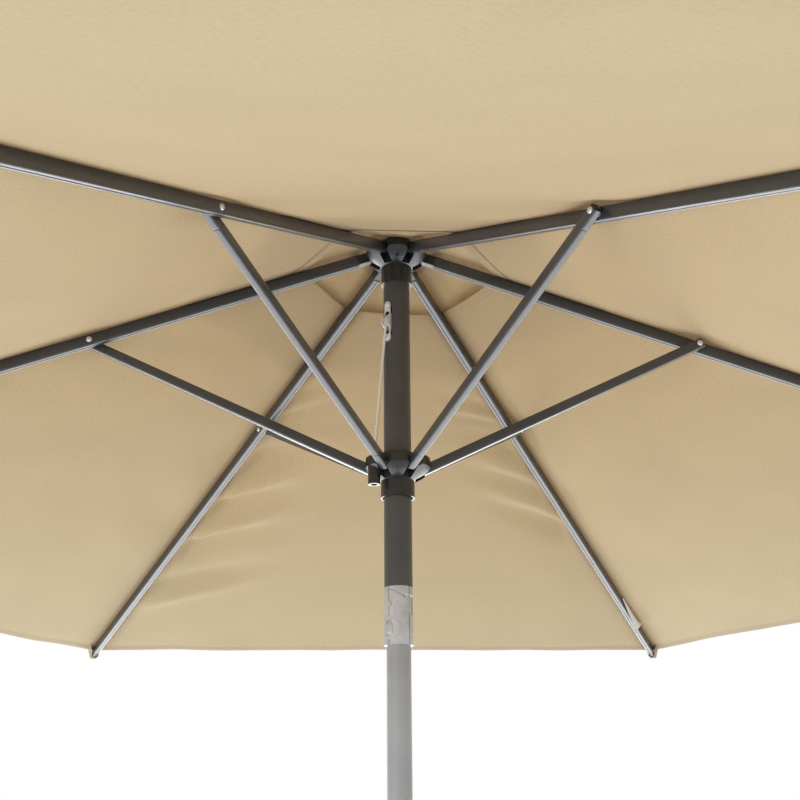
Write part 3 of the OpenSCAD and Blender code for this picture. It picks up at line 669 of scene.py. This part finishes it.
def fold_height(panel, x, y):
    """Sum of one panel's folds at arrays of places."""
    total = np.zeros_like(x)
    for fan in (fan for fan in FANS if panel_of(fan[0], fan[1]) == panel):
        for (x0, y0), (dx, dy), length, width, height in folds_of(fan):
            along = ((x - x0) * dx + (y - y0) * dy) / length
            aside = (x - x0) * dy - (y - y0) * dx
            fade = smoothstep(along, -0.05, 0.12) * (1 - smoothstep(along, 0.35, 1.0))
            total += height * fade * np.exp(-(aside / width) ** 2)
    return total


def slack(x, y, scale, seed):
    """Smooth noise between about -1 and 1 at arrays of places."""
    flat = [noise.noise((a * scale + seed, b * scale - seed, seed * 1.7))
            for a, b in zip(x.ravel(), y.ravel())]
    return np.array(flat).reshape(x.shape) * 1.6


def smoothstep(value, low, high):
    """0 below low, 1 above high and a smooth rise between, on arrays."""
    t = np.clip((value - low) / (high - low), 0, 1)
    return t * t * (3 - 2 * t)


def in_world(number, x, y):
    """Places given in the frame of a rib, as arrays in the object's frame."""
    angle = math.radians(60 * (number - 1))
    return (x * math.cos(angle) - y * math.sin(angle),
            x * math.sin(angle) + y * math.cos(angle))


def canopy_surface(number, reach, y):
    """Points of the open canopy at a reach and a sideways distance from one rib."""
    share = np.abs(y) / (HALF_PANEL * reach)
    x = reach - np.abs(y) * TAN30
    free = 1 - (1 - np.clip(share, 0, 1)) ** 2
    along = reach / TIP_REACH
    z = RIB_TOP + CLEARANCE - reach * FALL
    side = np.sign(y.max() + y.min())
    tight = 0.4 if is_front(number, side) else 1.0
    z = z - SAG * tight * free * along * (1.5 - 0.5 * along ** 2)
    # The vent's hem droops between the ribs. Over the ribs the cloth rises a little at both edges,
    # which leaves room for the hem folded under and for the rounded tip.
    z = z - 0.0015 * free * (1 - smoothstep(reach, VENT_REACH, VENT_REACH + 0.12))
    z = z + 0.0015 * (1 - smoothstep(reach, VENT_REACH, VENT_REACH + 0.05))
    z = z + 0.0015 * smoothstep(reach, TIP_REACH - 0.06, TIP_REACH - 0.02)
    # The strut's upper end, which is beside the rib, lifts the cloth a little.
    tent = np.exp(-((x - RIVET.x) / TENT_LENGTH) ** 2 - ((y + TENT_OFFSET) / TENT_WIDTH) ** 2)
    z = z + TENT_HEIGHT * tent
    world_x, world_y = in_world(number, x, y)
    loose = smoothstep(share, 0.03, 0.30)
    ripple = (0.0026 * slack(world_x, world_y, 3.4, 2.0)
              + 0.0010 * slack(world_x, world_y, 9.0, 7.0))
    folds = fold_height(panel_of(number, side), world_x, world_y)
    z = z + loose * ripple + smoothstep(np.abs(y), *FOLD_START) * folds
    return np.stack([world_x, world_y, z], axis=-1)


def cap_surface(number, reach, y):
    """Points of the vent cap, sewn down at the ribs and billowing between them."""
    share = np.abs(y) / (HALF_PANEL * reach)
    x = reach - np.abs(y) * TAN30
    outward = smoothstep(reach, CAP_INNER, CAP_REACH)
    z = RIB_TOP + 0.0065 - 0.0030 * outward - reach * FALL
    between = np.sin(np.clip(share, 0, 1) * math.pi / 2) ** 1.4
    z = z + 0.026 * between * outward
    world_x, world_y = in_world(number, x, y)
    z = z + 0.0130 * between * outward * slack(world_x, world_y, 11.0, 4.0)
    z = z + 0.0026 * between * slack(world_x, world_y, 26.0, 9.0)
    return np.stack([world_x, world_y, z], axis=-1)


def vent_offset(number):
    """How far the vent's hem, which is sewn a few millimetres off the middle, lies out at a rib."""
    return VENT_GROWTH + VENT_SHIFT * math.cos(math.radians(60 * (number - 1)) - VENT_SHIFT_TURN)


def vent_reach(number, side, share):
    """Reach of the vent's hem, which runs straight from rib to rib."""
    own, other = vent_offset(number), vent_offset(number + side)
    return VENT_REACH + own + (other - own) * 0.5 * share


def cap_start(number, side, share):
    """Reach of the vent cap's inner edge, the same at every rib and side."""
    return np.full_like(share, CAP_INNER)


def is_front(number, side):
    """The panel between ribs 5 and 6 is pulled tighter than the others."""
    return (number, side) in ((5, 1), (6, -1))


def wing(name, number, side, surface, start_reach, end, bow, corner_reach, rows, columns, hem):
    """Half a panel, from its rib to the middle of the gap.

    Its inner hem is folded under and its outer hem over. The outer edge bows in between the ribs
    and reaches a little further at the corner.
    """
    shares = np.linspace(0, 1, columns)
    start = start_reach(number, side, shares)
    # Distance in from the edge and distance from the cloth, from the edge to the end of the hem.
    fold = [(-0.0003, 0.0003), (-0.0005, 0.0008), (0.0, 0.0012), (0.004, HEM_LAYER),
            (hem * HEM_FALL, HEM_LAYER), (hem, 0.0011)]
    seam_edge, seam_count = SEAM_COLUMNS[-1], len(SEAM_COLUMNS)
    grid, cloth_uv, hem_uv = [], [], []

    def end_reach(share):
        corner = corner_reach * np.exp(-(share / CORNER_SHARE) ** 2)
        return end + corner - bow / COS30 * (1 - (1 - np.clip(share, 0, 1)) ** 2)

    def add_row(reach, lift):
        half = HALF_PANEL * reach
        open_cloth = seam_edge + (half[seam_count:] - seam_edge) * shares[seam_count:]
        y = np.concatenate([SEAM_COLUMNS, open_cloth])
        points = surface(number, reach, side * y)
        points[:, 2] += np.where(y < SEAM_HALF, SEAM_RISE, 0.0) + lift
        grid.append(points)
        cloth_uv.append(np.stack([reach, side * y], axis=-1))
        to_edge = (end_reach(y / half) - reach) * COS30
        hem_uv.append(np.stack([to_edge, (reach - start) * COS30], axis=-1))

    for inset, depth in fold[::-1]:
        add_row(start + inset / COS30, -depth)
    for t in np.linspace(0, 1, rows):
        add_row(start + t * (end_reach(shares) - start), 0.0)
    for inset, depth in fold:
        add_row(end_reach(shares) - inset / COS30, depth)
    uvs = {"cloth": np.array(cloth_uv), "hems": np.array(hem_uv)}
    return add_sheet(name, np.array(grid), uvs, CLOTH)


def fold_with_canopy(piece, number):
    """The wing rides on its rib, with a mesh of its own."""
    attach(piece, f"rib_{number}")
    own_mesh(piece)


def make_canopy(number):
    """The two wings of the canopy that ride on one rib."""
    rows, columns = 150, 56
    for side, word in ((1, "left"), (-1, "right")):
        bow = FRONT_BOW if is_front(number, side) else EDGE_BOW
        piece = wing(f"canopy_{number}_{word}", number, side, canopy_surface, vent_reach,
                     TIP_REACH, bow, CORNER_REACH, rows, columns, CANOPY_HEM)
        fold_with_canopy(piece, number)
        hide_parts(f"canopy_{number}")


def make_vent_cap(number):
    """The two wings of the vent cap that ride on one rib."""
    rows, columns = 46, 28
    for side, word in ((1, "left"), (-1, "right")):
        piece = wing(f"vent_cap_{number}_{word}", number, side, cap_surface, cap_start,
                     CAP_REACH, CAP_BOW, 0.0, rows, columns, CAP_HEM)
        fold_with_canopy(piece, number)
        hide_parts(f"canopy_{number}")


def make_cap_patch():
    """Round middle of the vent cap, under the finial."""
    rings, turns, hole = 16, 96, 0.0095
    grid, cloth_uv, hem_uv = [], [], []
    for i in range(rings):
        radius = hole + (PATCH_RADIUS - hole) * i / (rings - 1)
        angle = np.linspace(0, math.tau, turns + 1)
        x, y = radius * np.cos(angle), radius * np.sin(angle)
        pucker = 0.0006 * np.sin(18 * angle) * (i / (rings - 1))
        z = RIB_TOP + 0.0085 - radius * FALL + pucker
        grid.append(np.stack([x, y, z], axis=-1))
        cloth_uv.append(np.stack([x + 1.0, y + 1.0], axis=-1))
        hem_uv.append(np.stack([PATCH_RADIUS - radius + 0 * x, radius + 0 * x], axis=-1))
    piece = add_sheet("cap_centre", np.array(grid),
                      {"cloth": np.array(cloth_uv), "hems": np.array(hem_uv)}, CLOTH)
    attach(piece, "upper")
    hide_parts("cap_patch")


def make_pocket(number):
    """Pocket sewn under the corner of the canopy: two flaps that meet under the rib's tip."""
    columns, rows = 32, 14
    mouth_at_cloth, mouth_at_rib, closed = 1.246, 1.277, 1.289
    wide, narrow, under = 0.020, 0.008, 0.36
    half, top, deep = RIB_WIDTH / 2 + 0.0008, RIB_HEIGHT / 2 + 0.0002, RIB_HEIGHT / 2 + 0.0010
    grid, uv = [], []
    for i in range(rows + 1):
        row, row_uv = [], []
        for k in range(columns + 1):
            t = 2 * k / columns - 1
            mouth = mouth_at_rib + (mouth_at_cloth - mouth_at_rib) * abs(t) ** 1.3
            along = mouth + (closed - mouth) * i / rows
            flare = wide + (narrow - wide) * (along - mouth_at_cloth) / (closed - mouth_at_cloth)
            rise = max(0.0, (along - RIB_LENGTH - 0.0012) / (closed - RIB_LENGTH - 0.0012))
            low = -deep + (top + deep) * rise ** 1.6
            out = max(0.0, (abs(t) - under) / (1 - under))
            y = half * min(1.0, abs(t) / under) + (flare - half) * out ** 1.2
            row.append((along, math.copysign(y, t), low + (top - low) * out ** 0.9))
            row_uv.append((along, 0.03 + 0.02 * t))
        grid.append(row)
        uv.append(row_uv)
    matrix = rib_frame(number)
    points = np.array([[tuple(matrix @ Vector(p)) for p in row] for row in grid])
    uvs = np.array(uv)
    no_hem = np.full_like(uvs, 0.5)
    piece = add_sheet(f"corner_pocket_{number}", points, {"cloth": uvs, "hems": no_hem}, CLOTH)
    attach(piece, f"rib_{number}")


def make_care_label():
    """Blank woven label, sewn to the seam beside rib 2 and curled."""
    steps_along, steps_down = 30, 12
    start, length = 1.030, 0.112
    grid = []
    for i in range(steps_along + 1):
        t = i / steps_along
        along = start + length * t
        drop = 0.003 + 0.021 * math.sin(math.pi * min(1.0, t * 0.62 + 0.03)) ** 1.3
        drop *= 1 - max(0.0, (t - 0.86) / 0.14) ** 2 * 0.75
        row = []
        for k in range(steps_down + 1):
            v = k / steps_down
            bulge = (0.0020 + 0.0055 * t) * math.sin(math.pi * v * 0.9)
            row.append((along + 0.004 * v * t, -0.0072 - bulge, 0.0070 - drop * v))
        grid.append(row)
    matrix = rib_frame(2)
    points = np.array([[tuple(matrix @ Vector(p)) for p in row] for row in grid])
    piece = add_sheet("care_label", points, {}, LABEL)
    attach(piece, "rib_2")


# ------------------------------------------------------------------ lift cord


def on_lift_side(points):
    """Route points given in millimetres on the lift side of the pole, in the object's frame."""
    return [LIFT_TURN @ (Vector(p) / 1000) for p in points]


def make_cords():
    """The lift cord in three lengths: the two inside the pole are carried by the upper and lower bodies, the
    one outside by none. Routes are in millimetres.
    """
    pulley, pulley_x, wheel = PULLEY_HEIGHT * 1000, 13, 10
    crank, spool_x, wrap, steps, shift = 900, 38, 12.01, 32, 8
    over_pulley = [(pulley_x + wheel * math.cos(math.radians(a)), 0,
                    pulley + wheel * math.sin(math.radians(a))) for a in range(0, 181, 18)]
    upper = [(23, 0, pulley - 4.8)] + over_pulley
    upper += [(3, 0, pulley - 10), (2, -1, 2120), (0, -5.5, 1900), (0, -5.5, 1860), (0, -5.5, 1787)]
    turns = [(spool_x - wrap * math.cos(math.radians(22.5 * i)), -shift * i / steps,
              crank - wrap * math.sin(math.radians(22.5 * i))) for i in range(steps + 1)]
    lower = [(0, -5.5, 1785), (0, -5.5, 1700), (2, -4, 1500), (3, 0, 1200), (3, 0, 990), (4, 0, 975),
             (8, 0, 956), (15, 0, 936), (22, 0, 917), (25, 0, 908)] + turns
    add_piece("cord_inside_upper", swept(on_lift_side(upper), CORD_RADIUS), BRAID, "upper",
              ["cord_upper"], 80)
    add_piece("cord_inside_lower", swept(on_lift_side(lower), CORD_RADIUS), BRAID, "lower",
              ["cord_lower"], 80)

    lug = LUG_TURN @ Vector((LUG_REACH, 0, RUNNER_HEIGHT + 0.014))
    top = LIFT_TURN @ Vector((0.023, 0, PULLEY_HEIGHT - 0.005))
    pieces = 40
    run = [top.lerp(lug, i / pieces) for i in range(pieces + 1)]
    outside = new_mesh("cord_outside", swept(run, OUTER_CORD_RADIUS), 80)
    outside.data.materials.append(BRAID)
    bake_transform(outside)
    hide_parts("cord_outer")


def make_knot():
    """Overhand knot under the lug, with a short tail, and the cord up through the lug."""
    lug = LUG_TURN @ Vector((LUG_REACH, 0, RUNNER_HEIGHT))
    height, steps = -0.0205, 60
    loops = []
    for i in range(steps + 1):
        a = math.tau * i / steps
        wide = 0.0021 + 0.0009 * math.cos(3 * a)
        loops.append(lug + Vector((wide * math.cos(2 * a), wide * math.sin(2 * a),
                                   height + 0.0012 * math.sin(3 * a))))
    knot = swept(loops, KNOT_CORD_RADIUS, 12)
    stem = swept([lug + Vector((0, 0, 0.0135)), lug + Vector((0, 0, height))], CORD_RADIUS, 14)
    tail_route = [(0.0015, 0, height), (0.002, 0.0004, -0.022), (0.0012, 0.001, -0.0236)]
    tail = swept(smooth_path([lug + Vector(point) for point in tail_route]), KNOT_CORD_RADIUS, 12)
    add_piece("cord_knot_tied", joined(knot, stem, tail), BRAID, "runner", ["cord_knot"],
              80)


# ------------------------------------------------------------------ button spring


def make_button_spring():
    """Coil behind the tilt button."""
    inner, length, coil, wire, turns, drop = 0.0086, 0.0048, 0.0043, 0.0004, 3, 0.031
    height = JOINTS["tilt_hinge"]["pos_m"][2] - drop
    steps = 24 * turns
    route = []
    for i in range(steps + 1):
        angle = math.tau * turns * i / steps
        route.append(LIFT_TURN @ Vector((inner + length * i / steps, coil * math.cos(angle),
                                         height + coil * math.sin(angle))))
    spring = new_mesh("button_spring_coil", swept(route, wire, 10), 80)
    spring.data.materials.append(ZINC)
    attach(spring, "lower")
    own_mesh(spring)
    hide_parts("button_spring")


# ------------------------------------------------------------------ finishes of the CAD nodes


def finish_nodes():
    """Each carried-over CAD node gets its material, and the hub and runner get eased edges."""
    finishes = {
        "upper_pole": UPPER_PAINT, "lower_pole": LOWER_PAINT, "pole_foot": BLACK,
        "hub": BLACK, "runner": BLACK, "finial": BLACK, "hub_pins": ZINC,
        "tilt_lower": SILVER, "tilt_upper": SILVER, "tilt_pin": SILVER, "tilt_button": SILVER,
        "pulley_bracket": PLATED, "pulley_wheel": NYLON,
        "crank_housing": BLACK, "housing_screws": ZINC, "crank_spool": ZINC, "crank_arm": BLACK,
        "crank_grip": BLACK, "base_plate": BASE_PAINT, "base_feet": RUBBER,
        "base_tube": BASE_PAINT, "base_bolts": ZINC, "base_bush": BLACK, "clamp_knob": BLACK,
    }
    for node, material in finishes.items():
        data = frame["nodes"][node].data
        if not data.materials:
            data.materials.append(material)
        for index in range(len(data.materials)):
            data.materials[index] = material
    for node in ("hub", "runner"):
        bevel = frame["nodes"][node].modifiers.new("rim", "BEVEL")
        bevel.width = 0.0004
        bevel.segments = 2
        bevel.limit_method = "ANGLE"
        bevel.angle_limit = math.radians(50)


# ------------------------------------------------------------------ floor, light and camera


def make_floor_plane():
    """Square floor just under the feet."""
    size, height = 12.0, -0.0005
    corners = [(x * size, y * size, height) for x, y in ((-1, -1), (1, -1), (1, 1), (-1, 1))]
    floor = new_mesh("floor_plane", (corners, [(0, 1, 2, 3)]), solid=False)
    floor.data.materials.append(make_floor())


def add_area_light(name, place, target, size, power, diffuse=True):
    """A rectangular soft light; without diffuse it only shows as a reflection, as a white card does."""
    light = bpy.data.lights.new(name, "AREA")
    light.shape = "RECTANGLE"
    light.size, light.size_y = size
    light.energy = power
    holder = bpy.data.objects.new(name, light)
    holder.location = place
    way = Vector(target) - Vector(place)
    holder.rotation_euler = way.to_track_quat("-Z", "Y").to_euler()
    holder.visible_camera = False
    holder.visible_diffuse = diffuse
    bpy.context.scene.collection.objects.link(holder)


def make_light():
    """White surroundings, soft lights above, behind, in front and at the left, and a card below."""
    world = bpy.data.worlds.new("studio")
    world.use_nodes = True
    background = world.node_tree.nodes["Background"]
    background.inputs["Color"].default_value = (1.0, 1.0, 1.0, 1)
    background.inputs["Strength"].default_value = 1.0
    bpy.context.scene.world = world
    bpy.context.scene.view_settings.view_transform = "Standard"
    add_area_light("key_above", (-1.2, -1.0, 5.6), (0, 0, 2.0), (2.5, 2.5), 60)
    add_area_light("low_back", (0.6, 4.8, 0.7), (0, 0, 2.1), (5.0, 1.4), 90)
    add_area_light("low_left", (-2.2, 3.0, 0.35), (-0.4, 0.9, 1.9), (1.2, 0.8), 26)
    add_area_light("low_front", (-2.6, -2.6, 0.6), (0, 0, 1.8), (2.0, 1.2), 30)
    add_area_light("card_below", (0, 2.4, 0.02), (0, 2.4, 3.0), (7.0, 5.0), 310, diffuse=False)


def make_camera():
    """Camera under the canopy, just in front of the pole, looking up past the runner."""
    distance, below = 1.512, 0.794
    pitch, yaw, roll, turn = (math.radians(angle) for angle in (20.68, 0.15, -0.45, -2.68))
    ahead = Vector((math.sin(yaw) * math.cos(pitch), math.cos(yaw) * math.cos(pitch), math.sin(pitch)))
    right = Vector((math.cos(yaw), -math.sin(yaw), 0))
    up = right.cross(ahead)
    rolled_right = right * math.cos(roll) + up * math.sin(roll)
    rolled_up = up * math.cos(roll) - right * math.sin(roll)
    axes = Matrix((rolled_right, rolled_up, -ahead)).transposed().to_4x4()
    place = Matrix.Translation((0, -distance, 0)) @ axes
    camera = bpy.data.cameras.new("camera")
    camera.sensor_width = 36.0
    camera.lens = 51.6
    camera.clip_end = 100.0
    holder = bpy.data.objects.new("camera", camera)
    lifted = Matrix.Translation((0, 0, HUB_HEIGHT - below))
    holder.matrix_world = Matrix.Rotation(turn, 4, "Z") @ lifted @ place
    bpy.context.scene.collection.objects.link(holder)
    bpy.context.scene.camera = holder


# ------------------------------------------------------------------ build

make_camera()
for rib_number in RIBS:
    make_rib(rib_number)
    make_rib_ends(rib_number)
    make_strut(rib_number)
    make_strut_ends(rib_number)
    make_canopy(rib_number)
    make_vent_cap(rib_number)
    make_pocket(rib_number)
make_cap_patch()
make_care_label()
make_cords()
make_knot()
make_button_spring()
finish_nodes()
make_floor_plane()
make_light()
